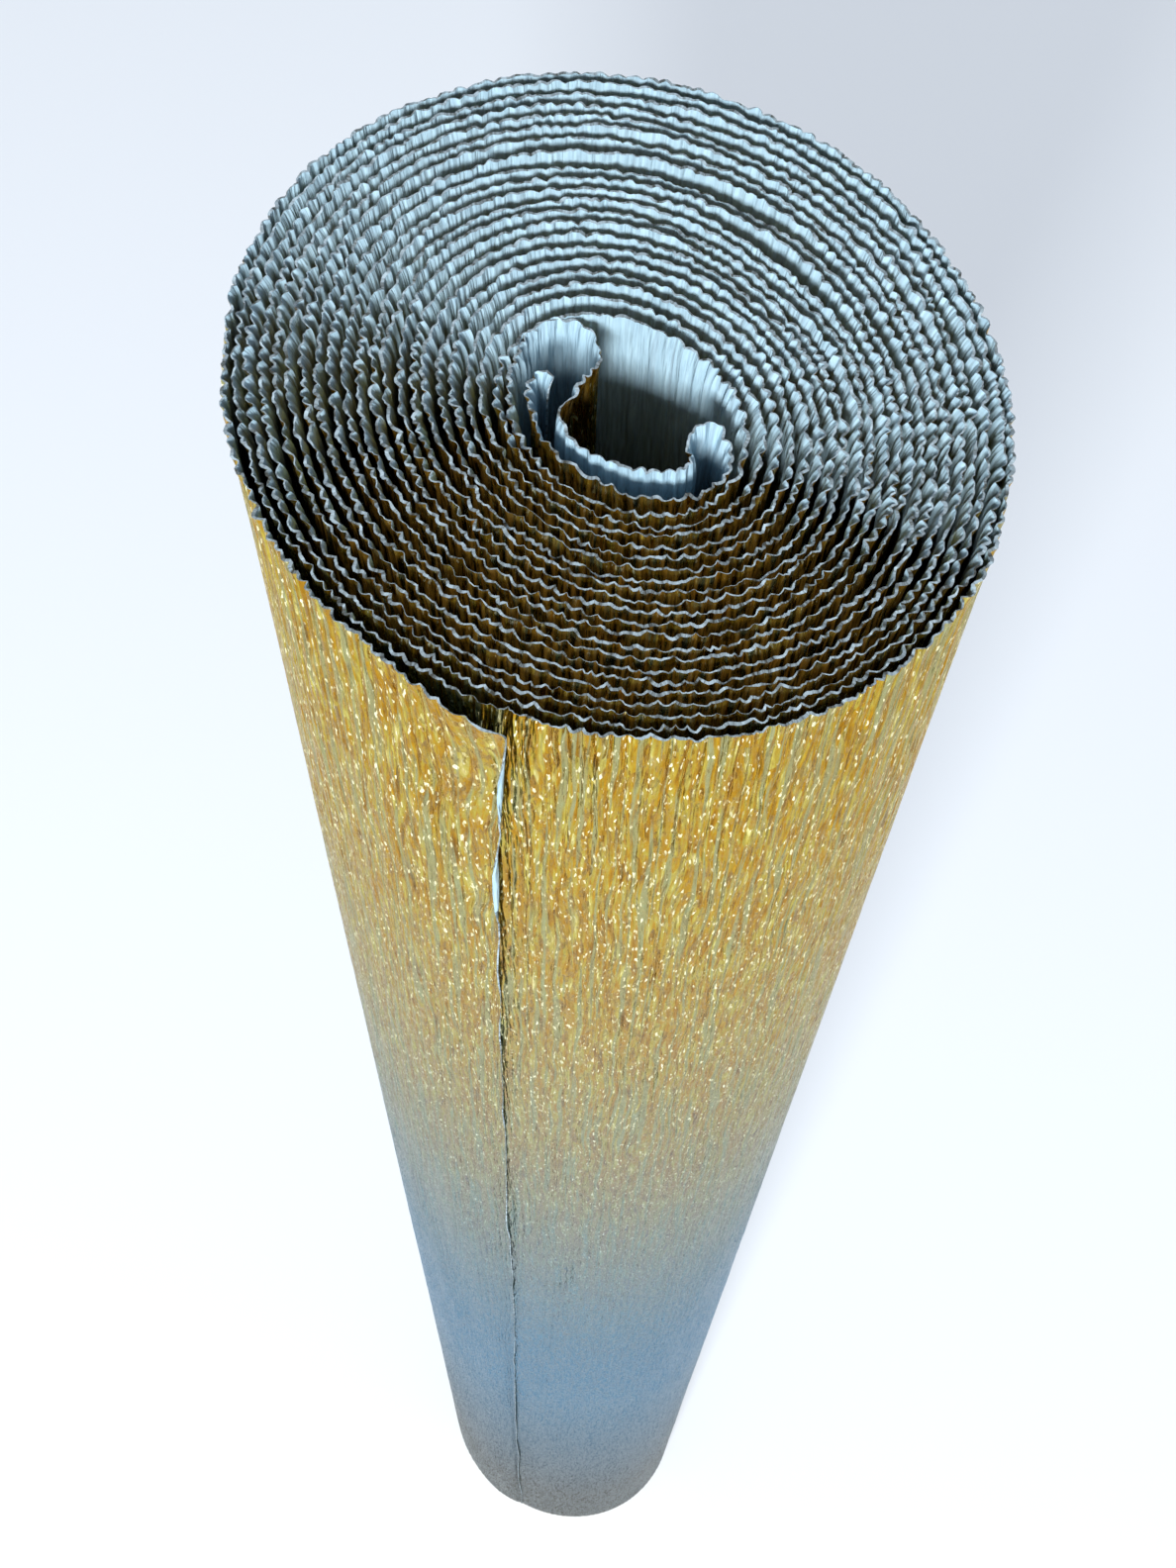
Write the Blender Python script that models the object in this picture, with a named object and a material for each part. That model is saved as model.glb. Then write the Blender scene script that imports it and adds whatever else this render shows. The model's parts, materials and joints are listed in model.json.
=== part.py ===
"""Coreless roll of foil-backed crepe paper, standing on its end. Metres, +Z up.

One web of creped paper, foil on its outer face, is wound up from a folded inner end.
Each turn of the web is a piece of its own. The last stretch of the outer turn is a loose
lap of hinged strips that peels open, and the turns inside telescope out in groups.
"""

from math import cos, radians, sin

import bmesh
import bpy
from mathutils import Vector

# The whole roll
WEB_WIDTH = 0.500            # height of the standing roll
OUTER_RADIUS = 0.0283        # mean radius of the outermost turn
HOLLOW_RADIUS = 0.0081       # mean radius where the innermost turn begins
WEB_THICKNESS = 0.00045      # creped web, measured over its ridges
PIECE_GAP = 0.0003           # left between two pieces where the web is divided

# How the web is wound: angles are from +X, anticlockwise seen from above, going outwards
WIND_START = 151.0           # where the inner fold ends and the innermost turn begins
WHOLE_TURNS = 21
FREE_EDGE_ANGLE = 250.5      # the outer end of the web, after the whole turns
FACET_ANGLE = 10.0

# The roll is a little oval and its hollow sits off centre
OVAL_AXIS = radians(-40.0)
HOLLOW_OVALITY = 0.12
OUTER_OVALITY = 0.05
HOLLOW_CENTRE = Vector((0.0009, -0.0022))
OUTER_CENTRE = Vector((0.0002, -0.0002))

# The loose lap at the outer end
LAP_STRIPS = 8
STRIP_ANGLE = 20.0
STRIP_FACETS = 4
LAP_LIFT = 0.0012            # how far the free edge stands off the turn under it
LAP_LIFT_START = 26.0        # degrees before the free edge
LAP_LIFT_RISE = 26.0         # degrees over which the lap comes away

# The folded inner end, in hollow radii from the hollow's centre, going inwards
INNER_FOLD = {
    "inner_loop": [
        (-0.96, 0.56), (-0.92, 0.74), (-0.76, 0.89), (-0.56, 0.92), (-0.38, 0.81), (-0.28, 0.62),
        (-0.31, 0.42), (-0.44, 0.29),
    ],
    "inner_side_wall": [
        (-0.44, 0.29), (-0.54, 0.14), (-0.60, -0.03), (-0.57, -0.20), (-0.40, -0.37),
    ],
    "inner_near_wall": [
        (-0.40, -0.37), (-0.20, -0.49), (0.04, -0.56), (0.28, -0.59),
    ],
    "inner_hairpin": [
        (0.28, -0.59), (0.50, -0.55), (0.60, -0.43), (0.57, -0.26), (0.64, -0.13),
        (0.77, -0.12), (0.86, -0.25), (0.90, -0.45), (0.83, -0.62), (0.68, -0.75), (0.44, -0.83),
    ],
    "inner_return": [
        (0.44, -0.83), (0.12, -0.82), (-0.24, -0.70), (-0.56, -0.48),
    ],
    "inner_tail": [
        (-0.56, -0.48), (-0.78, -0.18), (-0.87, 0.14), (-0.85, 0.32), (-0.76, 0.39), (-0.69, 0.27),
    ],
}
FOLD_STEPS = 2               # facets between two points of the folded end
FOLD_CLEAR_FROM = 40.0       # degrees past the wind's start where the fold is kept off the turn
FOLD_CLEAR_STEPS = 160

# The turns that telescope: the core slides in the turns around it, and those in the next
SLIDING_GROUPS = 9
TURNS_IN_GROUP = 2

FOIL_COLOUR = (0.78, 0.52, 0.13, 1.0)
PAPER_COLOUR = (0.74, 0.80, 0.82, 1.0)


def clear_scene():
    for thing in list(bpy.data.objects):
        bpy.data.objects.remove(thing, do_unlink=True)


def make_material(name, colour, metallic, roughness):
    material = bpy.data.materials.new(name)
    material.use_nodes = True
    surface = material.node_tree.nodes["Principled BSDF"]
    surface.inputs["Base Color"].default_value = colour
    surface.inputs["Metallic"].default_value = metallic
    surface.inputs["Roughness"].default_value = roughness
    return material


def smoothstep(value):
    value = min(max(value, 0.0), 1.0)
    return value * value * (3.0 - 2.0 * value)


LAST_ANGLE = WIND_START + 360.0 * WHOLE_TURNS + (FREE_EDGE_ANGLE - WIND_START)
LAP_START = LAST_ANGLE - LAP_STRIPS * STRIP_ANGLE


def lap_lift(angle):
    """How far the web stands off at this angle near its free edge."""
    into_lap = angle - (LAST_ANGLE - LAP_LIFT_START)
    return LAP_LIFT * smoothstep(into_lap / LAP_LIFT_RISE)


def web_point(angle):
    """Middle of the web's thickness at a winding angle in degrees."""
    wound = (angle - WIND_START) / (LAST_ANGLE - WIND_START)
    radius = HOLLOW_RADIUS + (OUTER_RADIUS - HOLLOW_RADIUS) * wound + lap_lift(angle)
    ovality = HOLLOW_OVALITY + (OUTER_OVALITY - HOLLOW_OVALITY) * wound
    turned = radians(angle) - OVAL_AXIS
    along = radius * (1.0 + ovality) * cos(turned)
    across = radius * (1.0 - ovality) * sin(turned)
    centre = HOLLOW_CENTRE.lerp(OUTER_CENTRE, wound)
    return Vector((
        centre.x + along * cos(OVAL_AXIS) - across * sin(OVAL_AXIS),
        centre.y + along * sin(OVAL_AXIS) + across * cos(OVAL_AXIS),
    ))


def wound_path(first_angle, last_angle, facets):
    step = (last_angle - first_angle) / facets
    return [web_point(first_angle + step * count) for count in range(facets + 1)]


def curve_through(points, steps):
    """Catmull-Rom curve through the points, ends held by mirrored neighbours."""
    held = [points[0] * 2 - points[1]] + list(points) + [points[-1] * 2 - points[-2]]
    path = []
    for before, start, end, after in zip(held, held[1:], held[2:], held[3:]):
        for count in range(steps):
            t = count / steps
            path.append(0.5 * (
                start * 2
                + (end - before) * t
                + (before * 2 - start * 5 + end * 4 - after) * t ** 2
                + (start * 3 - before - end * 3 + after) * t ** 3
            ))
    path.append(points[-1])
    return path


def trim_ends(path, trim_first=True, trim_last=True):
    """Draws the ends back by half the gap, so that neighbouring pieces stay apart."""
    path = [point.copy() for point in path]
    if trim_first:
        path[0] += (path[1] - path[0]).normalized() * PIECE_GAP / 2
    if trim_last:
        path[-1] += (path[-2] - path[-1]).normalized() * PIECE_GAP / 2
    return path


def web_piece(name, path, material, origin=Vector((0.0, 0.0))):
    """A standing stretch of web: its plan line drawn up to the full width and thickened."""
    mesh = bpy.data.meshes.new(name)
    shape = bmesh.new()
    corners = [shape.verts.new((*(point - origin), 0.0)) for point in path]
    for first, second in zip(corners, corners[1:]):
        shape.edges.new((first, second))
    raised = bmesh.ops.extrude_edge_only(shape, edges=shape.edges[:])["geom"]
    top = [item for item in raised if isinstance(item, bmesh.types.BMVert)]
    bmesh.ops.translate(shape, verts=top, vec=(0.0, 0.0, WEB_WIDTH))
    bmesh.ops.recalc_face_normals(shape, faces=shape.faces[:])
    shape.to_mesh(mesh)
    shape.free()
    mesh.materials.append(material)
    mesh.shade_smooth()
    piece = bpy.data.objects.new(name, mesh)
    piece.location = (origin.x, origin.y, 0.0)
    bpy.context.collection.objects.link(piece)
    wall = piece.modifiers.new("thickness", "SOLIDIFY")
    wall.thickness = WEB_THICKNESS
    wall.offset = 0.0
    wall.use_even_offset = True
    return piece


def keep_in_place(piece, parent):
    """Parents a piece without moving it: every parent is unturned."""
    offset = Vector((0.0, 0.0, 0.0))
    above = parent
    while above is not None:
        offset += above.location
        above = above.parent
    piece.parent = parent
    piece.location = piece.location - offset


def make_turns(material):
    """The packed turns, numbered outwards; the last one stops where the lap begins."""
    turns = []
    for number in range(1, WHOLE_TURNS + 1):
        first = WIND_START + 360.0 * (number - 1)
        last = min(first + 360.0, LAP_START)
        facets = round((last - first) / FACET_ANGLE)
        path = trim_ends(wound_path(first, last, facets))
        turns.append(web_piece(f"turn_{number:02d}", path, material))
    return turns


def make_lap(material):
    """The loose lap: strips side by side, each hinged on the one before it."""
    strips = []
    for number in range(1, LAP_STRIPS + 1):
        first = LAP_START + STRIP_ANGLE * (number - 1)
        hinge = web_point(first)
        path = wound_path(first, first + STRIP_ANGLE, STRIP_FACETS)
        path = trim_ends(path, trim_last=number < LAP_STRIPS)
        strip = web_piece(f"lap_strip_{number}", path, material, origin=hinge)
        if strips:
            keep_in_place(strip, strips[-1])
        strips.append(strip)
    return strips


def pressed_in(path):
    """Draws the folded end in towards the hollow's centre wherever it crowds the innermost turn."""
    wall = wound_path(WIND_START + FOLD_CLEAR_FROM, WIND_START + 360.0, FOLD_CLEAR_STEPS)
    room = WEB_THICKNESS + PIECE_GAP
    clear = []
    for point in path:
        near = min((point - side).length for side in wall)
        inwards = (HOLLOW_CENTRE - point).normalized()
        clear.append(point + inwards * max(room - near, 0.0))
    return clear


def fold_path(name):
    """One stretch of the folded end, as part of the smooth curve through all of its points."""
    shares = []
    for stretch in INNER_FOLD.values():
        shares += stretch[len(shares) > 0:]
    points = [HOLLOW_CENTRE + Vector(share) * HOLLOW_RADIUS for share in shares]
    whole = pressed_in(curve_through(points, FOLD_STEPS))
    first = shares.index(INNER_FOLD[name][0]) * FOLD_STEPS
    last = shares.index(INNER_FOLD[name][-1]) * FOLD_STEPS
    return whole[first:last + 1]


def make_inner_fold(material):
    """The web's inner end, folded and curled inside the hollow, from the first turn inwards."""
    end = list(INNER_FOLD)[-1]
    pieces = []
    for name in INNER_FOLD:
        path = trim_ends(fold_path(name), trim_last=name != end)
        pieces.append(web_piece(name, path, material))
    return pieces


def make_groups(turns, fold):
    """Empties that carry the turns which slide out together, each on the group around it."""
    above = None
    for place in reversed(range(SLIDING_GROUPS)):
        first = place * TURNS_IN_GROUP
        members = turns[first:first + TURNS_IN_GROUP]
        name = f"turns_{first + 1:02d}_{first + TURNS_IN_GROUP:02d}" if place else "core"
        group = bpy.data.objects.new(name, None)
        bpy.context.collection.objects.link(group)
        group.parent = above
        for turn in members:
            keep_in_place(turn, group)
        above = group
    for piece in fold:
        keep_in_place(piece, above)


clear_scene()
foil = make_material("foil_crepe", FOIL_COLOUR, 0.9, 0.3)
paper = make_material("paper_crepe", PAPER_COLOUR, 0.0, 0.8)
packed_turns = make_turns(paper)
make_lap(foil)
inner_fold = make_inner_fold(paper)
make_groups(packed_turns, inner_fold)
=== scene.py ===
"""A coreless roll of foil-faced crepe paper, standing on its end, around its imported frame."""

import json
from math import ceil, radians

import bpy
import numpy as np
from mathutils import Matrix, Vector


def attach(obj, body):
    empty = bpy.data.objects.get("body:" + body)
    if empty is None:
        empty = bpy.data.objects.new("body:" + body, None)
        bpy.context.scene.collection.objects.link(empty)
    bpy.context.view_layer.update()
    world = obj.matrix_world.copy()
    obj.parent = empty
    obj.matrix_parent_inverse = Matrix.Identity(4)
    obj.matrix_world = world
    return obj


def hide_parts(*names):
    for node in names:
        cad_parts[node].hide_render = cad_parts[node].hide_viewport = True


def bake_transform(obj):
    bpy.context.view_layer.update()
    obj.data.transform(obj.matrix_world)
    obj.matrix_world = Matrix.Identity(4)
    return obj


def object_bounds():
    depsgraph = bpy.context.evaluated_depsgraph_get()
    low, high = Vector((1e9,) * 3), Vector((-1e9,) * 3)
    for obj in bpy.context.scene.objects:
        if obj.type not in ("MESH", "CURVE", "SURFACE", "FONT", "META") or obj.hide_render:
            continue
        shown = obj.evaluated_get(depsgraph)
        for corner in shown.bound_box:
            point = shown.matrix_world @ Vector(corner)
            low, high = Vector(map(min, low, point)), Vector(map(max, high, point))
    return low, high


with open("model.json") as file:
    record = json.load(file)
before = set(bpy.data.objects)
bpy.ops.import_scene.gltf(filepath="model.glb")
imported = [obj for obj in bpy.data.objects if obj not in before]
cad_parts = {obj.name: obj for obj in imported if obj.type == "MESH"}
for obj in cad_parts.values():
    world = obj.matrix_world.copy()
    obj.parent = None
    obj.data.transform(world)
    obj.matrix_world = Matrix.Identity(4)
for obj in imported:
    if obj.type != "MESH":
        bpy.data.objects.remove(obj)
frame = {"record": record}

cad_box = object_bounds()
bpy.ops.object.select_all(action="DESELECT")
bpy.context.view_layer.objects.active = None


# ---------------------------------------------------------------------------- camera
# A hand-held camera close above the near side of the roll, looking steeply down it, so that the
# top end fills the frame and the length of the roll runs away towards the floor.

EYE = Vector((-0.0003, -0.0923, 0.6455))
EYE_PITCH, EYE_YAW, EYE_ROLL = radians(67.20), radians(-0.27), radians(2.586)
LENS_MM, FRAME_MM = 54.76, 36.0
NEAREST_SEEN, FURTHEST_SEEN = 0.01, 20.0

ahead = Vector((
    np.sin(EYE_YAW) * np.cos(EYE_PITCH),
    np.cos(EYE_YAW) * np.cos(EYE_PITCH),
    -np.sin(EYE_PITCH),
))
level = Vector((np.cos(EYE_YAW), -np.sin(EYE_YAW), 0.0))
raised = level.cross(ahead)
right = level * np.cos(EYE_ROLL) + raised * np.sin(EYE_ROLL)
up = raised * np.cos(EYE_ROLL) - level * np.sin(EYE_ROLL)
bpy.ops.object.camera_add(location=EYE)
camera = bpy.context.object
camera.name = "camera"
camera.rotation_mode = "QUATERNION"
camera.rotation_quaternion = Matrix((right, up, -ahead)).transposed().to_quaternion()
camera.data.sensor_fit = "AUTO"
camera.data.sensor_width = FRAME_MM
camera.data.lens = LENS_MM
camera.data.clip_start, camera.data.clip_end = NEAREST_SEEN, FURTHEST_SEEN
bpy.context.scene.camera = camera
bpy.ops.object.select_all(action="DESELECT")


# ---------------------------------------------------------------------------- folded inner end
# The web begins inside the hollow, where its first few centimetres are folded over and curled by
# the winding. It is one sheet of crepe paper, white inside and gold foil outside, as all the rest.

# The web is wound anticlockwise outwards. Angles are in degrees and lengths in metres.
WEB_HEIGHT = cad_box[1].z - cad_box[0].z
PAPER_THICKNESS = 0.00015
WIND_START, WHOLE_TURNS, FREE_EDGE = 151.0, 21, 250.5
LAST_ANGLE = WIND_START + 360.0 * WHOLE_TURNS + (FREE_EDGE - WIND_START)
OUTER_RADIUS, HOLLOW_RADIUS = 0.0283, 0.0081
OVAL_AXIS, HOLLOW_OVALITY, OUTER_OVALITY = radians(-40.0), 0.12, 0.05
HOLLOW_CENTRE, OUTER_CENTRE = np.array((0.0009, -0.0022)), np.array((0.0002, -0.0002))
# How far the last degrees of the web stand off, before the lap's own section lays them down
LAP_LIFT, LAP_LIFT_START, LAP_LIFT_RISE = 0.0012, 26.0, 26.0
# The innermost turns are slack towards one side: how far, which way, and for how many turns
SLACK, SLACK_DIRECTION, SLACK_HALF_WIDTH = 0.0010, 62.0, 150.0
SLACK_RISE, SLACK_UNTIL, SLACK_TURNS = 120.0, 451.0, 1.5
# Where the turns have parted: direction and half-width in degrees, radius, width of the opening
PARTINGS = (
    (66.0, 70.0, 0.0206, 0.0005),
    (47.0, 30.0, 0.0188, 0.0009),
    (100.0, 60.0, 0.0222, 0.0004),
)
# The share of an opening on either side of it, and over how many turns the push dies away
PUSHED_IN, PUSHED_OUT, TURNS_INSIDE, TURNS_OUTSIDE = 0.7, 0.3, 5.0, 3.0
# The folded end in hollow radii from the middle of the hollow, from the first turn to the web's tip
FOLD = (
    (-0.96, 0.56), (-0.92, 0.74), (-0.76, 0.89), (-0.56, 0.92), (-0.38, 0.81), (-0.28, 0.62),
    (-0.31, 0.42), (-0.44, 0.29), (-0.54, 0.14), (-0.60, -0.03), (-0.57, -0.20), (-0.40, -0.37),
    (-0.20, -0.49), (0.04, -0.56), (0.28, -0.59), (0.50, -0.55), (0.60, -0.43), (0.57, -0.26),
    (0.64, -0.13), (0.77, -0.12), (0.86, -0.25), (0.90, -0.45), (0.83, -0.62), (0.68, -0.75),
    (0.44, -0.83), (0.12, -0.82), (-0.24, -0.70), (-0.56, -0.48), (-0.78, -0.18), (-0.87, 0.14),
    (-0.85, 0.32), (-0.76, 0.39), (-0.69, 0.27),
)
FOLD_STEPS, STEPS_PAST_TIP, DEGREES_PAST_EDGE = 8, 3.0, 8.0
RUN_STEP = 0.0003


def eased(value):
    """From 0 to 1 with a soft start and end."""
    value = np.clip(value, 0.0, 1.0)
    return value * value * (3.0 - 2.0 * value)


def parted(angle, direction, half_width, radius, opening):
    """How far a turn is pushed aside by one parting of the turns."""
    nearest = direction + 360.0 * np.round((angle - direction) / 360.0)
    wound = (nearest - WIND_START) / (LAST_ANGLE - WIND_START)
    there = HOLLOW_RADIUS + (OUTER_RADIUS - HOLLOW_RADIUS) * wound
    within = eased(1.0 - np.abs(angle - nearest) / half_width)
    pitch = 360.0 * (OUTER_RADIUS - HOLLOW_RADIUS) / (LAST_ANGLE - WIND_START)
    fading_in = np.exp((there - radius) / (TURNS_INSIDE * pitch)) * (there < radius)
    fading_out = np.exp((radius - there) / (TURNS_OUTSIDE * pitch)) * (there >= radius)
    return within * opening * (PUSHED_OUT * fading_out - PUSHED_IN * fading_in)


def turn_points(angle):
    """Middle of the web at winding angles."""
    wound = (angle - WIND_START) / (LAST_ANGLE - WIND_START)
    radius = HOLLOW_RADIUS + (OUTER_RADIUS - HOLLOW_RADIUS) * wound
    radius = radius + LAP_LIFT * eased((angle - LAST_ANGLE + LAP_LIFT_START) / LAP_LIFT_RISE)
    for parting in PARTINGS:
        radius = radius + parted(angle, *parting)
    off = np.abs((angle - SLACK_DIRECTION + 180.0) % 360.0 - 180.0)
    turns_out = np.maximum(angle - SLACK_UNTIL, 0.0) / 360.0
    sunk = eased((angle - WIND_START) / SLACK_RISE) * np.exp(-turns_out / SLACK_TURNS)
    radius = radius - SLACK * eased(1.0 - off / SLACK_HALF_WIDTH) * sunk
    ovality = HOLLOW_OVALITY + (OUTER_OVALITY - HOLLOW_OVALITY) * wound
    turned = np.radians(angle) - OVAL_AXIS
    along = radius * (1.0 + ovality) * np.cos(turned)
    across = radius * (1.0 - ovality) * np.sin(turned)
    centre = HOLLOW_CENTRE + np.outer(wound, OUTER_CENTRE - HOLLOW_CENTRE)
    return centre + np.stack((
        along * np.cos(OVAL_AXIS) - across * np.sin(OVAL_AXIS),
        along * np.sin(OVAL_AXIS) + across * np.cos(OVAL_AXIS),
    ), axis=-1)


def fold_points(steps):
    """Catmull-Rom curve through the folded end, from the web's tip outwards to the first turn."""
    shares = np.array(FOLD)
    held = np.vstack((2 * shares[0] - shares[1], shares, 2 * shares[-1] - shares[-2]))
    t = (np.arange(steps) / steps)[:, None]
    path = []
    for before, start, end, after in zip(held, held[1:], held[2:], held[3:]):
        path.append(0.5 * (
            2 * start + (end - before) * t + (2 * before - 5 * start + 4 * end - after) * t ** 2
            + (3 * start - before - 3 * end + after) * t ** 3
        ))
    return (HOLLOW_CENTRE + np.vstack(path) * HOLLOW_RADIUS)[::-1]


# The whole web as one line seen from above, with the distance along it from the first turn's start
fold_line = fold_points(FOLD_STEPS)
past_tip = fold_line[0] + (fold_line[0] - fold_line[1]) * STEPS_PAST_TIP
fold_line = np.vstack((past_tip, fold_line))
turn_angles = np.arange(WIND_START, LAST_ANGLE + DEGREES_PAST_EDGE, 1.0)
web_line = np.vstack((fold_line[:-1], turn_points(turn_angles)))
web_steps = np.hypot(*np.diff(web_line, axis=0).T)
web_distance = np.concatenate(((0.0,), np.cumsum(web_steps)))
web_distance -= web_distance[len(fold_line) - 1]
FOLD_LENGTH = -web_distance[1]


def distance_at(angle):
    return float(np.interp(angle, turn_angles, web_distance[len(fold_line) - 1:]))


def web_at(distance):
    """Point and outward normal of the smooth web line at distances along it."""
    def place(at):
        return np.stack([
            np.interp(at, web_distance, web_line[:, axis]) for axis in (0, 1)
        ], axis=-1)
    run = place(distance + RUN_STEP) - place(distance - RUN_STEP)
    run /= np.hypot(run[..., 0], run[..., 1])[..., None]
    return place(distance), np.stack((run[..., 1], -run[..., 0]), axis=-1)


def soft_noise(across, along, seed):
    """Smooth noise from -1 to 1 that repeats only after hundreds of units."""
    rows, columns = 997, 61
    field = np.random.default_rng(seed).uniform(-1.0, 1.0, (rows, columns))
    row, column = np.floor(across).astype(int), np.floor(along).astype(int)
    a, b = eased(across - row), eased(along - column)
    here, beyond = column % columns, (column + 1) % columns
    near = field[row % rows, here] * (1 - b) + field[row % rows, beyond] * b
    far = field[(row + 1) % rows, here] * (1 - b) + field[(row + 1) % rows, beyond] * b
    return near * (1 - a) + far * a


# The crepe's lobes stand upright, round on the foil side, with sharp creases towards the white.
# Smaller ripples lie on them. A lobe's or ripple's mean is what it stands off on average.
LOBE_WIDTH, LOBE_DEPTH, LOBE_ROUNDNESS, LOBE_MEAN = 0.00115, 0.00047, 0.8, 0.66
RIPPLE_WIDTH, RIPPLE_DEPTH, RIPPLE_MEAN = 0.00058, 0.00014, 0.6
LOBE_WANDER, RIPPLE_WANDER, SWAY_DEPTH = 1.3, 1.2, 0.00009
# Over what length of the web, and of its height, each of these drifts
LOBE_DRIFT, DEPTH_DRIFT, RIPPLE_DRIFT = (0.0040, 0.035), (0.0021, 0.018), (0.0018, 0.009)
RIPPLE_DEPTH_DRIFT, SWAY_DRIFT = (0.0022, 0.010), (0.009, 0.060)
# How much of a lobe's and a ripple's depth is the same everywhere, and how much varies
LOBE_EVEN, LOBE_VARIES, RIPPLE_EVEN, RIPPLE_VARIES = 0.62, 0.38, 0.5, 0.5
# The cut end is crushed a little, down to this reach
CRUSH_WIDTH, CRUSH_DEPTH, CRUSH_REACH = 0.0009, 0.00017, 0.0007


def crepe(distance, height):
    """How far the creped web stands off its smooth line."""
    def drifting(lengths, seed):
        return soft_noise(distance / lengths[0], height / lengths[1], seed)
    wander = LOBE_WANDER * drifting(LOBE_DRIFT, seed=11)
    lobe = np.abs(np.cos(np.pi * (distance / LOBE_WIDTH + wander))) ** LOBE_ROUNDNESS
    lobe_depth = LOBE_DEPTH * (LOBE_EVEN + LOBE_VARIES * drifting(DEPTH_DRIFT, seed=12))
    shift = RIPPLE_WANDER * drifting(RIPPLE_DRIFT, seed=13)
    ripple = np.abs(np.cos(np.pi * (distance / RIPPLE_WIDTH + shift)))
    varied = RIPPLE_EVEN + RIPPLE_VARIES * drifting(RIPPLE_DEPTH_DRIFT, seed=14)
    ripples = (ripple - RIPPLE_MEAN) * RIPPLE_DEPTH * varied
    sway = SWAY_DEPTH * drifting(SWAY_DRIFT, seed=15)
    crushed = CRUSH_DEPTH * soft_noise(distance / CRUSH_WIDTH, 0 * height, seed=16)
    crushed = crushed * np.exp((height - WEB_HEIGHT) / CRUSH_REACH)
    return (lobe - LOBE_MEAN) * lobe_depth + ripples + sway + crushed


CUT_BELOW, CUT_WANDER, CUT_JAGS = 0.00045, 0.00025, 0.00014
CUT_DRIFT, JAG_WIDTH = 0.012, 0.0006


def cut_edge(distance):
    """How far the cut top edge of the web stands below the roll's height."""
    wander = CUT_WANDER * soft_noise(distance / CUT_DRIFT, distance * 0, seed=21)
    jags = CUT_JAGS * soft_noise(distance / JAG_WIDTH, distance * 0, seed=22)
    return CUT_BELOW + wander + jags


# The cut end stands straight on the near side, splays at the sides and is flattest at the far
# side. Each change has the angle off the near side where it starts, and the degrees it takes.
NEAR_SIDE = 270.0
LEAN, LEAN_REACH, LEAN_BACK, LEAN_VARIES, LEAN_DRIFT = 0.36, 0.0012, 0.4, 0.35, 0.006
SIDE_FROM, SIDE_OVER = 22.0, 50.0
FAR_LEAN_LOSS, FAR_LEAN_FROM, FAR_LEAN_OVER = 0.55, 105.0, 50.0
SIDE_LOBE_GAIN, FAR_LOBE_LOSS, FAR_LOBE_FROM, FAR_LOBE_OVER = 0.22, 0.50, 95.0, 55.0


def splayed(place):
    """How much the web leans out at its cut end, and how deep its lobes are, round the roll."""
    direction = np.degrees(np.arctan2(place[..., 1], place[..., 0]))
    off = np.abs((direction - NEAR_SIDE + 180.0) % 360.0 - 180.0)
    sideways = eased((off - SIDE_FROM) / SIDE_OVER)
    lean = sideways - FAR_LEAN_LOSS * eased((off - FAR_LEAN_FROM) / FAR_LEAN_OVER)
    far_lobes = FAR_LOBE_LOSS * eased((off - FAR_LOBE_FROM) / FAR_LOBE_OVER)
    return lean, 1.0 + SIDE_LOBE_GAIN * sideways - far_lobes


# A calm web is pulled smooth below this reach. The knife fluffs the last of the cut end.
CALM_REACH = 0.010
FLUFF, FLUFF_REACH, FLUFF_WIDTH = 0.9, 0.0003, 0.0008
SMOOTH_BELOW = radians(58.0)


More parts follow.
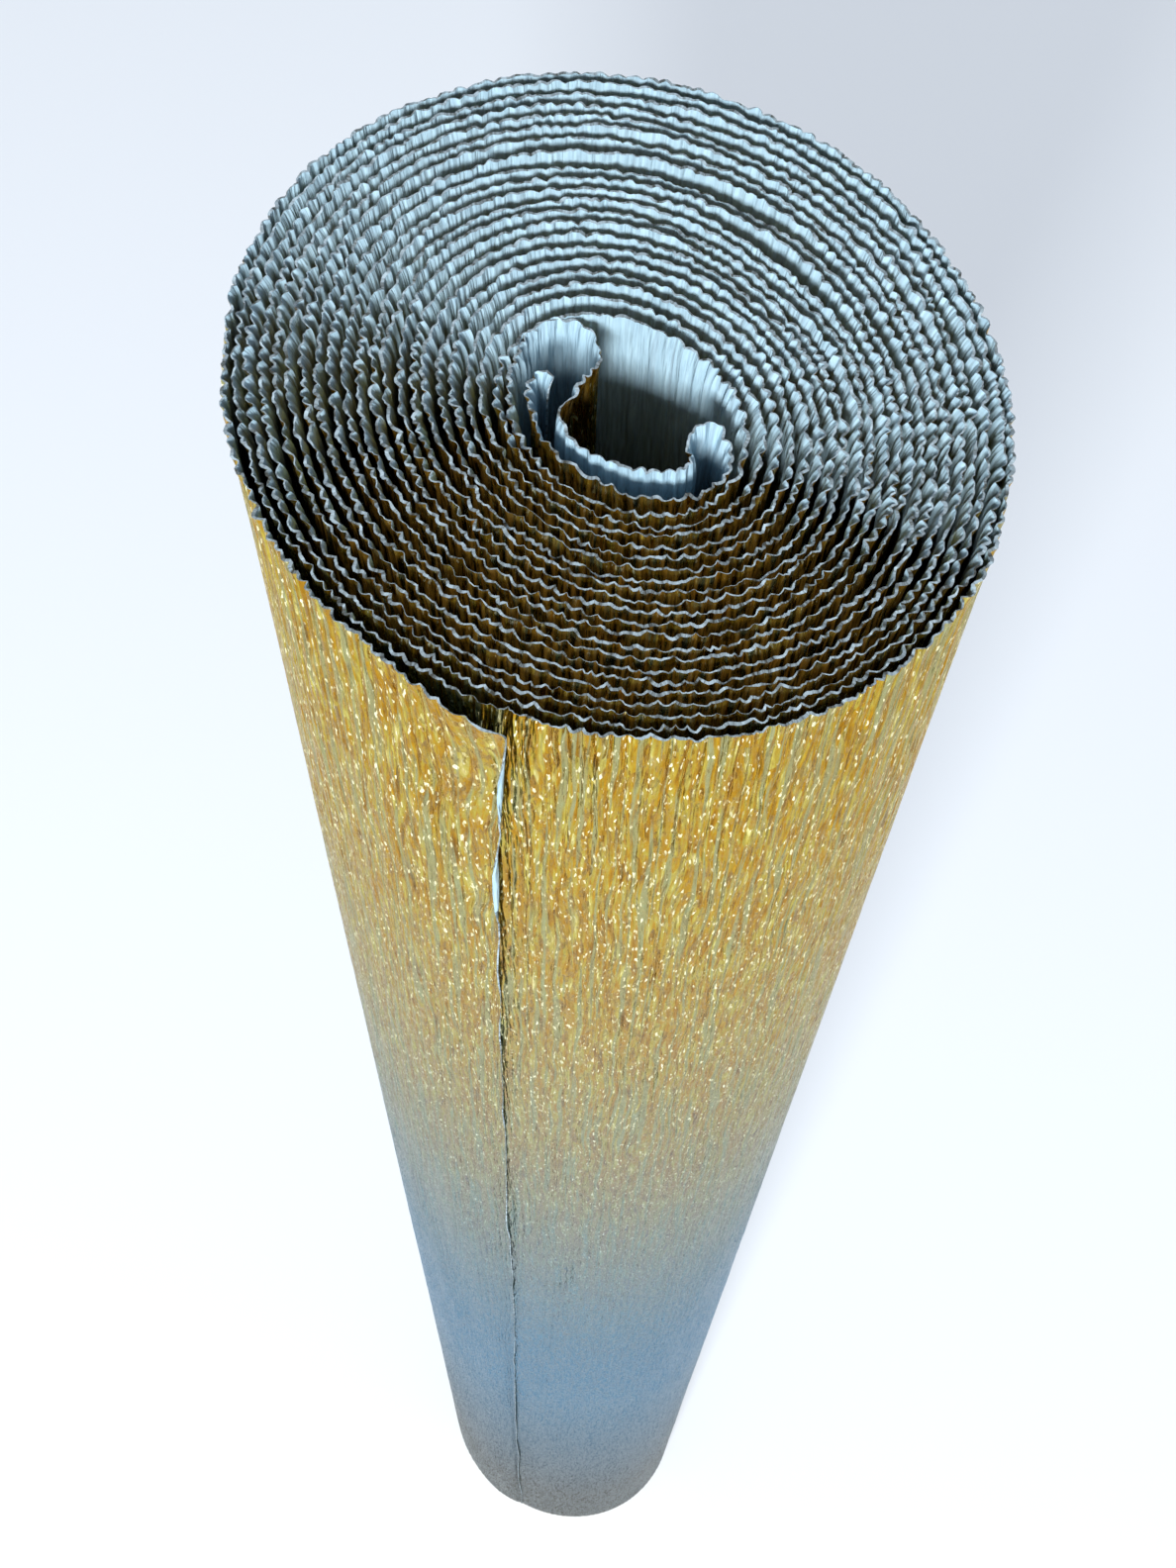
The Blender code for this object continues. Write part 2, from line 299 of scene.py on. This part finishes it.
def wound_sheet(name, first, last, levels, column_width, shaped=None, calm=0.0):
    """A stretch of the web between two distances along it: a flat grid wound into place and
    creped, with its gold face outwards, its white face inwards and cut edges between them."""
    columns = max(4, ceil((last - first) / column_width))
    rows = len(levels) - 1
    bpy.ops.mesh.primitive_grid_add(x_subdivisions=columns, y_subdivisions=rows, size=1.0)
    sheet = bpy.context.object
    sheet.name = sheet.data.name = name
    flat = np.zeros(len(sheet.data.vertices) * 3)
    sheet.data.vertices.foreach_get("co", flat)
    flat = flat.reshape(-1, 3)
    column = np.rint((flat[:, 0] + 0.5) * columns).astype(int)
    row = np.rint((flat[:, 1] + 0.5) * rows).astype(int)
    wall = sheet.modifiers.new("thickness", "SOLIDIFY")
    wall.thickness, wall.offset = PAPER_THICKNESS, -1.0
    for material in (foil, paper, edge):
        sheet.data.materials.append(material)
    wall.material_offset, wall.material_offset_rim = 1, 2
    bpy.ops.object.modifier_apply(modifier=wall.name)

    # One column more at either end, so that the sheet's sides are known there too
    distance = first + (last - first) * np.arange(-1, columns + 2) / columns
    d, z = np.meshgrid(distance, np.array(levels), indexing="ij")
    moved, stand = (d, 0.0) if shaped is None else shaped(d, z)
    place, out = web_at(moved)
    lean, lobed = splayed(place)
    leaning = LEAN * LEAN_REACH * lean
    leaning = leaning * (1.0 + LEAN_VARIES * soft_noise(d / LEAN_DRIFT, 0 * z, seed=24))
    leaning = leaning * (np.exp((z - WEB_HEIGHT) / LEAN_REACH) - LEAN_BACK)
    pulled = 1.0 - calm * (1.0 - np.exp((z - WEB_HEIGHT) / CALM_REACH))
    lobes = crepe(d, z) * lobed * pulled
    spot = place + out * (lobes + (1.0 - calm) * leaning + stand)[..., None]
    run = spot[2:] - spot[:-2]
    side = np.stack((run[..., 1], -run[..., 0]), axis=-1)
    side /= np.hypot(side[..., 0], side[..., 1])[..., None]
    d, z = d[1:-1], z[1:-1]
    top = z * (1.0 - cut_edge(d) / WEB_HEIGHT)
    fluff = FLUFF * soft_noise(d / FLUFF_WIDTH, 0 * d, seed=23)
    fluffed = 1.0 + fluff * np.exp((z - WEB_HEIGHT) / FLUFF_REACH)
    half = side * (fluffed * PAPER_THICKNESS / 2.0)[..., None]
    layers = [
        np.concatenate((spot[1:-1] + way * half, top[..., None]), axis=-1)[column, row]
        for way in (1, -1)
    ]
    sheet.data.vertices.foreach_set("co", np.concatenate(layers).ravel())

    # The web's own measure, along it and up it, is what its materials read
    laid = np.stack((distance[column + 1], np.array(levels)[row]), axis=-1)
    corner = np.zeros(len(sheet.data.loops), dtype=int)
    sheet.data.loops.foreach_get("vertex_index", corner)
    uv = sheet.data.uv_layers[0]
    uv.name = "web"
    uv.data.foreach_set("uv", laid[corner % len(laid)].ravel())
    sheet.data.update()
    bpy.ops.object.shade_smooth_by_angle(angle=SMOOTH_BELOW)
    bpy.ops.object.select_all(action="DESELECT")
    return sheet


def new_tree(name):
    material = bpy.data.materials.new(name)
    material.use_nodes = True
    tree = material.node_tree
    web = tree.nodes.new("ShaderNodeUVMap")
    web.uv_map = "web"
    return material, tree, tree.nodes["Principled BSDF"], web.outputs["UV"]


def put(tree, kind, inputs=(), **settings):
    """Adds a node: its settings, then its sockets by name or number, each a value or a socket."""
    made = tree.nodes.new(kind)
    for key, value in settings.items():
        setattr(made, key, value)
    for key, value in dict(inputs).items():
        if isinstance(value, bpy.types.NodeSocket):
            tree.links.new(value, made.inputs[key])
        else:
            made.inputs[key].default_value = value
    return made


def figured(tree, operation, *values):
    return put(tree, "ShaderNodeMath", dict(enumerate(values)), operation=operation).outputs[0]


def moved_by(tree, operation, *values):
    vectors = dict(enumerate(values))
    return put(tree, "ShaderNodeVectorMath", vectors, operation=operation).outputs[0]


def stretched(tree, web, across, along):
    """The web's own measure, in steps of so many metres across and along its ridges."""
    steps = (1.0 / across, 1.0 / along, 1.0)
    return put(tree, "ShaderNodeMapping", {"Vector": web, "Scale": steps}).outputs[0]


def mottle(tree, web, across, along, detail=2.0, roughness=0.5):
    return put(tree, "ShaderNodeTexNoise", {
        "Vector": stretched(tree, web, across, along), "Scale": 1.0,
        "Detail": detail, "Roughness": roughness,
    })


def facets(tree, web, across, along):
    measure = stretched(tree, web, across, along)
    return put(tree, "ShaderNodeTexVoronoi", {"Vector": measure, "Scale": 1.0}, feature="F1")


def tone(tree, value, low, high, black=0.0, white=1.0, **settings):
    return put(tree, "ShaderNodeMapRange", {
        "Value": value, "From Min": low, "From Max": high, "To Min": black, "To Max": white,
    }, **settings).outputs[0]


def mixed(tree, share, first, second):
    node = put(tree, "ShaderNodeMix", {"Factor": share}, data_type="RGBA")
    for socket, value in ((node.inputs[6], first), (node.inputs[7], second)):
        if isinstance(value, bpy.types.NodeSocket):
            tree.links.new(value, socket)
        else:
            socket.default_value = value
    return node.outputs[2]


def first_channel(tree, colour):
    return put(tree, "ShaderNodeSeparateColor", {"Color": colour}).outputs[0]


# Crinkle: the small creases that cover every face of the crepe, finer than its lobes
crinkle = bpy.data.node_groups.new("crepe crinkle", "ShaderNodeTree")
crinkle.interface.new_socket("Web", in_out="INPUT", socket_type="NodeSocketVector")
for name in ("Size", "Tilt"):
    crinkle.interface.new_socket(name, in_out="INPUT", socket_type="NodeSocketFloat")
for name in ("Height", "Patches", "Streaks", "Grain", "Facet", "Chips"):
    crinkle.interface.new_socket(name, in_out="OUTPUT", socket_type="NodeSocketFloat")
crinkle.interface.new_socket("Normal", in_out="OUTPUT", socket_type="NodeSocketVector")
entry = crinkle.nodes.new("NodeGroupInput").outputs
leave = crinkle.nodes.new("NodeGroupOutput").inputs
BEND_ACROSS, BEND_ALONG, FINE_SHARE = 0.0016, 0.004, 0.35

sized = moved_by(crinkle, "MULTIPLY", entry["Web"], entry["Size"])
bend = mottle(crinkle, sized, 0.004, 0.020)
bend = moved_by(crinkle, "MULTIPLY", bend.outputs["Color"], (BEND_ACROSS, BEND_ALONG, 0.0))
swayed = moved_by(crinkle, "ADD", bend, sized)
ridges = mottle(crinkle, swayed, 0.0008, 0.018, 3.0, 0.6)
creases = facets(crinkle, swayed, 0.00030, 0.0034)
fine = mottle(crinkle, swayed, 0.00022, 0.0016)
patches = mottle(crinkle, swayed, 0.0005, 0.0065, 5.0, 0.60)
streaks = mottle(crinkle, swayed, 0.0005, 0.030)
chips = facets(crinkle, swayed, 0.00017, 0.0008)
rough = figured(crinkle, "ADD", ridges.outputs["Fac"], creases.outputs["Distance"])
rough = figured(crinkle, "MULTIPLY_ADD", fine.outputs["Fac"], FINE_SHARE, rough)
# Each crease and chip tips its own way, as crushed foil does
tipped = moved_by(crinkle, "ADD", creases.outputs["Color"], chips.outputs["Color"])
tipped = moved_by(crinkle, "SUBTRACT", tipped, (1.0, 1.0, 1.0))
tipped = put(crinkle, "ShaderNodeVectorMath", {0: tipped, "Scale": entry["Tilt"]},
             operation="SCALE").outputs[0]
facing = crinkle.nodes.new("ShaderNodeNewGeometry").outputs["Normal"]
tipped = moved_by(crinkle, "NORMALIZE", moved_by(crinkle, "ADD", tipped, facing))
for name, value in (
    ("Height", rough), ("Patches", patches.outputs["Fac"]), ("Streaks", streaks.outputs["Fac"]),
    ("Grain", fine.outputs["Fac"]), ("Facet", first_channel(crinkle, creases.outputs["Color"])),
    ("Chips", first_channel(crinkle, chips.outputs["Color"])), ("Normal", tipped),
):
    crinkle.links.new(value, leave[name])


def crinkled(tree, web, size=1.0, tilt=0.0):
    node = put(tree, "ShaderNodeGroup", node_tree=crinkle)
    tree.links.new(web, node.inputs["Web"])
    node.inputs["Size"].default_value = size
    node.inputs["Tilt"].default_value = tilt
    return node.outputs


# Gold foil: metal crushed into small facets, mottled from dark brown to pale gold, partly its own
# tone and partly painted reflection of dim and bright surroundings, with olive streaks painted as a
# reflection of the pale floor, orange streaks and a few painted glints. Its lower part is guessed
# to show a painted cool grey reflection of the floor where it is seen at a slant, browner at the
# foot.
# The mottle is partly the foil's own tone and partly painted reflection: dark stops for dim
# surroundings, pale ones for bright
FOIL_COLOURS = (
    (0.14, (0.15, 0.057, 0.003)), (0.28, (0.30, 0.135, 0.007)), (0.42, (0.43, 0.230, 0.012)),
    (0.58, (0.41, 0.31, 0.044)), (0.74, (0.49, 0.42, 0.098)), (0.88, (0.84, 0.78, 0.37)),
)
# The olive streak colour is a painted reflection of the pale floor; the glint colour is a painted
# highlight
PAINTED_FLOOR_STREAK, ORANGE_STREAK = (0.28, 0.30, 0.165, 1.0), (0.36, 0.17, 0.010, 1.0)
PAINTED_GLINT = (1.0, 0.96, 0.66, 1.0)
# Painted reflection of the pale floor on the lower part: cool grey-blue, browner at the foot where
# the floor is shaded
PAINTED_FLOOR_REFLECTION, PAINTED_SHADED_FLOOR_REFLECTION = (0.19, 0.31, 0.41, 1.0), (0.14, 0.105, 0.065, 1.0)
FOIL_TINT, SHEEN_TINT = (1.0, 0.86, 0.55, 1.0), (0.42, 0.50, 0.56, 1.0)
UNLIT, SEEPING_LIGHT = (0.0, 0.0, 0.0, 1.0), (0.085, 0.043, 0.006, 1.0)

foil, tree, surface, web = new_tree("gold foil")
marks = crinkled(tree, web, tilt=0.30)
tangle = tone(tree, marks["Patches"], 0.28, 0.74, 0.0, 0.66)
tangle = figured(tree, "MULTIPLY_ADD", marks["Facet"], 0.36, tangle)
ramp = put(tree, "ShaderNodeValToRGB", {"Fac": tangle})
while len(ramp.color_ramp.elements) < len(FOIL_COLOURS):
    ramp.color_ramp.elements.new(0.5)
for stop, (at, colour) in zip(ramp.color_ramp.elements, FOIL_COLOURS):
    stop.position, stop.color = at, (*colour, 1.0)
# Olive streaks: painted reflection of the pale floor on flat facets
floor_streak_share = tone(tree, marks["Streaks"], 0.53, 0.59, 0.0, 0.85)
gold = mixed(tree, floor_streak_share, ramp.outputs["Color"], PAINTED_FLOOR_STREAK)
gold = mixed(tree, tone(tree, marks["Streaks"], 0.45, 0.38, 0.0, 0.65), gold, ORANGE_STREAK)
# Glints: small flecks of painted highlight
painted_glints = tone(tree, marks["Chips"], 0.86, 0.88)
painted_glints = figured(tree, "MULTIPLY", painted_glints, tone(tree, marks["Grain"], 0.48, 0.56))
gold = mixed(tree, painted_glints, gold, PAINTED_GLINT)

# The lower part's painted floor reflection, mixed into its colour where it is seen at a slant, with
# a cooler specular tint there
object_place = tree.nodes.new("ShaderNodeTexCoord").outputs["Object"]
level_up = put(tree, "ShaderNodeSeparateXYZ", {0: object_place}).outputs["Z"]
slant = put(tree, "ShaderNodeLayerWeight", {"Blend": 0.5}).outputs["Facing"]
slant = tone(tree, slant, 0.30, 0.72, interpolation_type="SMOOTHSTEP")
painted_reflection_share = tone(tree, level_up, 0.50, 0.22, interpolation_type="SMOOTHSTEP")
painted_reflection_share = figured(tree, "MULTIPLY", slant, painted_reflection_share)
painted_floor_reflection = mixed(tree, tone(tree, level_up, 0.20, 0.05), PAINTED_FLOOR_REFLECTION, PAINTED_SHADED_FLOOR_REFLECTION)
tree.links.new(mixed(tree, painted_reflection_share, gold, painted_floor_reflection), surface.inputs["Base Color"])
tree.links.new(mixed(tree, painted_reflection_share, FOIL_TINT, SHEEN_TINT), surface.inputs["Specular Tint"])
tree.links.new(tone(tree, marks["Grain"], 0.35, 0.7, 0.14, 0.40), surface.inputs["Roughness"])
surface.inputs["Metallic"].default_value = 0.95

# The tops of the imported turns' walls glow faintly, in place of light that seeps through the paper
GLOW_WHOLE, GLOW_GONE = distance_at(LAST_ANGLE - 1700.0), distance_at(LAST_ANGLE - 560.0)
GLOW_DEEPEST, GLOW_FULL = WEB_HEIGHT - 0.0040, WEB_HEIGHT - 0.0002
measure = put(tree, "ShaderNodeSeparateXYZ", {0: web}).outputs
glow = tone(tree, measure["X"], GLOW_WHOLE, GLOW_GONE, 1.0, 0.0)
glow = figured(tree, "MULTIPLY", glow, tone(tree, measure["Y"], GLOW_DEEPEST, GLOW_FULL))
glow = figured(tree, "MULTIPLY", glow, tone(tree, marks["Patches"], 0.45, 0.62))
tree.links.new(mixed(tree, glow, UNLIT, SEEPING_LIGHT), surface.inputs["Emission Color"])
surface.inputs["Emission Strength"].default_value = 1.0
bump = put(tree, "ShaderNodeBump", {
    "Height": marks["Height"], "Normal": marks["Normal"], "Strength": 0.9, "Distance": 0.00022,
})
tree.links.new(bump.outputs[0], surface.inputs["Normal"])

# White crepe paper: matt, a little blue, with fine upright fibres and shallow creases
PAPER_WHITE, PAPER_FIBRE = (0.44, 0.61, 0.70, 1.0), (0.30, 0.43, 0.51, 1.0)
PAPER_STREAK = (0.24, 0.31, 0.36, 1.0)

paper, tree, surface, web = new_tree("white crepe paper")
marks = crinkled(tree, web)
fibres = mottle(tree, web, 0.00028, 0.006, 3.0).outputs["Fac"]
white = mixed(tree, tone(tree, fibres, 0.35, 0.68), PAPER_WHITE, PAPER_FIBRE)
white = mixed(tree, tone(tree, marks["Streaks"], 0.55, 0.75, 0.0, 0.5), white, PAPER_STREAK)
tree.links.new(white, surface.inputs["Base Color"])
surface.inputs["Roughness"].default_value = 0.85
surface.inputs["Specular IOR Level"].default_value = 0.25
pleated = figured(tree, "MULTIPLY_ADD", fibres, 1.2, marks["Height"])
bump = put(tree, "ShaderNodeBump", {"Height": pleated, "Strength": 0.9, "Distance": 0.00017})
tree.links.new(bump.outputs[0], surface.inputs["Normal"])

# Cut edge: raw paper, fluffed a little by the knife
EDGE_WHITE, EDGE_SHADE = (0.42, 0.51, 0.56, 1.0), (0.05, 0.05, 0.04, 1.0)

edge, tree, surface, web = new_tree("cut paper edge")
fluff = mottle(tree, web, 0.0007, 0.0007, 5.0, 0.75).outputs["Fac"]
white = mixed(tree, tone(tree, fluff, 0.40, 0.62), EDGE_WHITE, EDGE_SHADE)
tree.links.new(white, surface.inputs["Base Color"])
surface.inputs["Roughness"].default_value = 0.9
bump = put(tree, "ShaderNodeBump", {"Height": fluff, "Strength": 0.6, "Distance": 0.0001})
tree.links.new(bump.outputs[0], surface.inputs["Normal"])


# Heights of the rows of an inner turn, close together near its ends, where it is seen
INNER_LEVELS = [WEB_HEIGHT * share for share in (0.0, 0.004, 0.03, 0.15, 0.4, 0.65, 0.84, 0.92)]
INNER_LEVELS += [WEB_HEIGHT - down for down in (
    0.028, 0.019, 0.013, 0.009, 0.006, 0.0042, 0.0029, 0.0019, 0.0012, 0.0007, 0.0003, 0.0,
)]
COLUMN = 0.00020

record = frame["record"]["behaviour"]["bodies"]
CORE, OUTSIDE = "core", "outer_turns"
fold_nodes = [node for node in record[CORE] if not node.startswith("turn_")]
inner_fold = wound_sheet("inner_fold", -FOLD_LENGTH, 0.0, INNER_LEVELS, COLUMN)
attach(inner_fold, CORE)
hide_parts(*fold_nodes)


# ---------------------------------------------------------------------------- packed turns
# Eighteen turns of the same web, wound loosely enough to slide. They are held only by their own
# spring, two turns to a group, and the web runs on unbroken from each group to the one around it.

# A passing stretch crosses from one group to the next, this many degrees either side of the join
JOIN_HALF = 85.0
TURNS_IN_GROUP = 2
groups = [CORE] + sorted(body for body in record if body.startswith("turns_")) + [OUTSIDE]
for place, body in enumerate(groups[:-1]):
    begins = WIND_START + 360.0 * TURNS_IN_GROUP * place
    ends = begins + 360.0 * TURNS_IN_GROUP
    first = distance_at(begins + (JOIN_HALF if place else 0.0))
    last = distance_at(ends - JOIN_HALF)
    turns = wound_sheet(f"packed_{body}", first, last, INNER_LEVELS, COLUMN)
    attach(turns, body)
    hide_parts(*[node for node in record[body] if node.startswith("turn_")])

    first, last = last, distance_at(ends + JOIN_HALF)
    passing = wound_sheet(f"passing_{body}", first, last, INNER_LEVELS, COLUMN)
    start, end = web_at(np.array((first, last)))[0]
    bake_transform(passing)


# ---------------------------------------------------------------------------- outer turns
# The last turns of the web stay still and carry all the others. The foil of the outermost one is
# the roll's whole outside, so it is creped all the way down.

OUTER_COLUMN = 0.00020
LAP_STRIPS, STRIP_ANGLE = 8, 20.0
LAP_START = LAST_ANGLE - LAP_STRIPS * STRIP_ANGLE
SHOWN_FROM, SHOWN_STRETCH = LAP_START - 380.0, 125.0
EVEN_ROWS, EVEN_FROM = 120, 0.0012
EVEN_STEP = (WEB_HEIGHT - 0.0072) / EVEN_ROWS
OUTER_LEVELS = [0.0, 0.0003] + [EVEN_FROM + EVEN_STEP * step for step in range(EVEN_ROWS + 1)]
OUTER_LEVELS += [WEB_HEIGHT - down for down in (
    0.0042, 0.0030, 0.0020, 0.0012, 0.0006, 0.0002, 0.0,
)]
OUTSIDE_CALM = 0.55

slides_end = WIND_START + 360.0 * TURNS_IN_GROUP * (len(groups) - 1) + JOIN_HALF
second, third = SHOWN_FROM + SHOWN_STRETCH, SHOWN_FROM + 2 * SHOWN_STRETCH
for number, (begins, ends, levels, calm) in enumerate((
    (slides_end, SHOWN_FROM, INNER_LEVELS, 0.0),
    (SHOWN_FROM, second, OUTER_LEVELS, 0.0),
    (second, third, OUTER_LEVELS, OUTSIDE_CALM),
    (third, LAP_START - STRIP_ANGLE / 2, OUTER_LEVELS, OUTSIDE_CALM),
), start=1):
    first, last = distance_at(begins), distance_at(ends)
    outer_turn = wound_sheet(f"outer_turn_{number}", first, last, levels, OUTER_COLUMN, calm=calm)
    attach(outer_turn, OUTSIDE)
    if number == 1:
        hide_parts(*record[OUTSIDE])


# ---------------------------------------------------------------------------- loose lap
# The end of the web isn't glued or taped: it lies loose on the turn under it and peels open.
# The lap is built in strips, each centred on a hinge angle, and the last one carries the free edge,
# which curls a little.

FREE_DISTANCE = distance_at(LAST_ANGLE)
LIFT_FROM = distance_at(LAST_ANGLE - LAP_LIFT_START)
LIFT_TO = distance_at(LAST_ANGLE - LAP_LIFT_START + LAP_LIFT_RISE)
# The top corner gapes: how far, over what length of web and how far down. Below it is pressed in.
GAPE, GAPE_LENGTH, GAPE_REACH, GAPE_SHARPNESS = 0.0011, 0.010, 0.006, 1.5
PRESSED_IN = 0.00065
# The line of the free edge: height, and how far the web runs on past its middle line there
FREE_LINE = (
    (0.0, -0.0022), (0.15, -0.0019), (0.30, -0.0008), (0.41, -0.0002),
    (0.445, 0.0), (0.475, 0.0006), (0.490, 0.0016), (0.500, 0.0024),
)
LINE_WANDER, LINE_DRIFT, LINE_BLEND = 0.0003, 0.025, 0.004
# The free edge curls back over this width, by a share of half a turn that varies
CURL_WIDTH, CURL_SHARE, CURL_VARIES, LEAST_CURL, MOST_CURL = 0.0011, 0.12, 0.10, 0.02, 1.05
CURL_PAST_EDGE, CURL_BLEND, CURL_BLEND_FROM, CURL_PLATEAU = 1.2, 0.004, 0.005, 1.3
CURL_DRIFT = 0.018
# Where the free edge is rolled back to show its white face: height, half-length and how far round
ROLLED_BACK = (
    (0.4880, 0.0110, 0.88), (0.4665, 0.0110, 0.88), (0.4450, 0.0080, 0.30), (0.4250, 0.0070, 0.30),
    (0.3950, 0.0060, 0.25), (0.3400, 0.0080, 0.25),
)
# A small dent beside the free edge: how far back from it and how high, its half-widths, its depth
DENT_BACK, DENT_HEIGHT, DENT_ACROSS, DENT_ALONG, DENT_DEPTH = 0.0052, 0.4790, 0.0010, 0.0060, 0.0006


def curled(distance, height):
    """The lap lies close, gapes at its top corner, and its free edge wanders and curls outwards."""
    past = distance - FREE_DISTANCE
    near_edge = eased((past + GAPE_LENGTH) / GAPE_LENGTH)
    near_top = np.exp((height - WEB_HEIGHT) / GAPE_REACH)
    gaping = GAPE * near_edge ** GAPE_SHARPNESS * near_top
    lifted = eased((distance - LIFT_FROM) / (LIFT_TO - LIFT_FROM))
    stand = gaping - PRESSED_IN * near_edge * (1.0 - near_top) - LAP_LIFT * lifted
    across, along = (past + DENT_BACK) / DENT_ACROSS, (height - DENT_HEIGHT) / DENT_ALONG
    stand = stand - DENT_DEPTH * np.exp(-across ** 2 - along ** 2)

    line = np.interp(height, *np.array(FREE_LINE).T)
    line = line + LINE_WANDER * soft_noise(height / LINE_DRIFT, distance * 0, seed=31)
    wander = line * eased((past + LINE_BLEND) / LINE_BLEND)

    rolled = CURL_SHARE + CURL_VARIES * soft_noise(height / CURL_DRIFT, distance * 0 + 3.0, seed=32)
    for middle, half, round_by in ROLLED_BACK:
        within = 1.0 - np.abs(height - middle) / half
        rolled = rolled + round_by * eased(CURL_PLATEAU * within)
    turn = np.pi * np.clip(rolled, LEAST_CURL, MOST_CURL)
    tip = np.clip((past + CURL_WIDTH) / CURL_WIDTH, 0.0, CURL_PAST_EDGE)
    # The web is let out before the curl by what the curl takes back, so that the seam stays put
    reach = np.where(turn > np.pi / 2, 1.0, np.sin(np.minimum(turn, np.pi / 2))) / turn
    let_out = eased((past + CURL_BLEND_FROM) / CURL_BLEND) * CURL_WIDTH * (1.0 - reach)
    back = CURL_WIDTH * (np.sin(turn * tip) / turn - tip) + let_out
    return distance + wander + back, stand + CURL_WIDTH * (1.0 - np.cos(turn * tip)) / turn


for number in range(1, LAP_STRIPS + 1):
    hinge = LAP_START + STRIP_ANGLE * (number - 1)
    first = distance_at(hinge - STRIP_ANGLE / 2)
    bent = distance_at(hinge + STRIP_ANGLE / 2)
    last, width = bent, OUTER_COLUMN
    if number == LAP_STRIPS:
        last, width = FREE_DISTANCE, OUTER_COLUMN / 2
    lap = wound_sheet(f"lap_{number}", first, last, OUTER_LEVELS, width, curled, OUTSIDE_CALM)
    start, end = web_at(np.array((first, bent)))[0]
    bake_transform(lap)
    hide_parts(f"lap_strip_{number}")


# ---------------------------------------------------------------------------- floor and light
# A plain pale floor, soft daylight from a large window in front and a little to the left, and a
# weak even light from the rest of the room.

FLOOR_SIZE, FLOOR_COLOUR = 8.0, (0.94, 0.95, 0.97, 1.0)
WINDOW_PLACE, WINDOW_AIM = Vector((-0.36, -1.78, 1.50)), Vector((0.0, 0.0, 0.40))
WINDOW_WIDTH, WINDOW_HEIGHT, WINDOW_WATTS = 0.8, 0.6, 72.0
WINDOW_COLOUR, ROOM_COLOUR, ROOM_STRENGTH = (0.92, 0.97, 1.0), (0.62, 0.68, 0.78, 1.0), 0.56

bpy.ops.mesh.primitive_plane_add(size=FLOOR_SIZE, location=(0.0, 0.0, 0.0))
floor = bpy.context.object
floor.name = "floor"
floor_finish, tree, surface, web = new_tree("pale floor")
surface.inputs["Base Color"].default_value = FLOOR_COLOUR
surface.inputs["Roughness"].default_value = 0.7
floor.data.materials.append(floor_finish)

bpy.ops.object.light_add(type="AREA", location=WINDOW_PLACE)
window = bpy.context.object
window.name = "window"
window.data.shape = "RECTANGLE"
window.data.size, window.data.size_y = WINDOW_WIDTH, WINDOW_HEIGHT
window.data.energy = WINDOW_WATTS
window.data.color = WINDOW_COLOUR
window.rotation_mode = "QUATERNION"
window.rotation_quaternion = (WINDOW_AIM - WINDOW_PLACE).to_track_quat("-Z", "Y")

world = bpy.data.worlds.new("room")
bpy.context.scene.world = world
world.use_nodes = True
world.node_tree.nodes["Background"].inputs["Color"].default_value = ROOM_COLOUR
world.node_tree.nodes["Background"].inputs["Strength"].default_value = ROOM_STRENGTH

bpy.context.scene.view_settings.view_transform = "Standard"
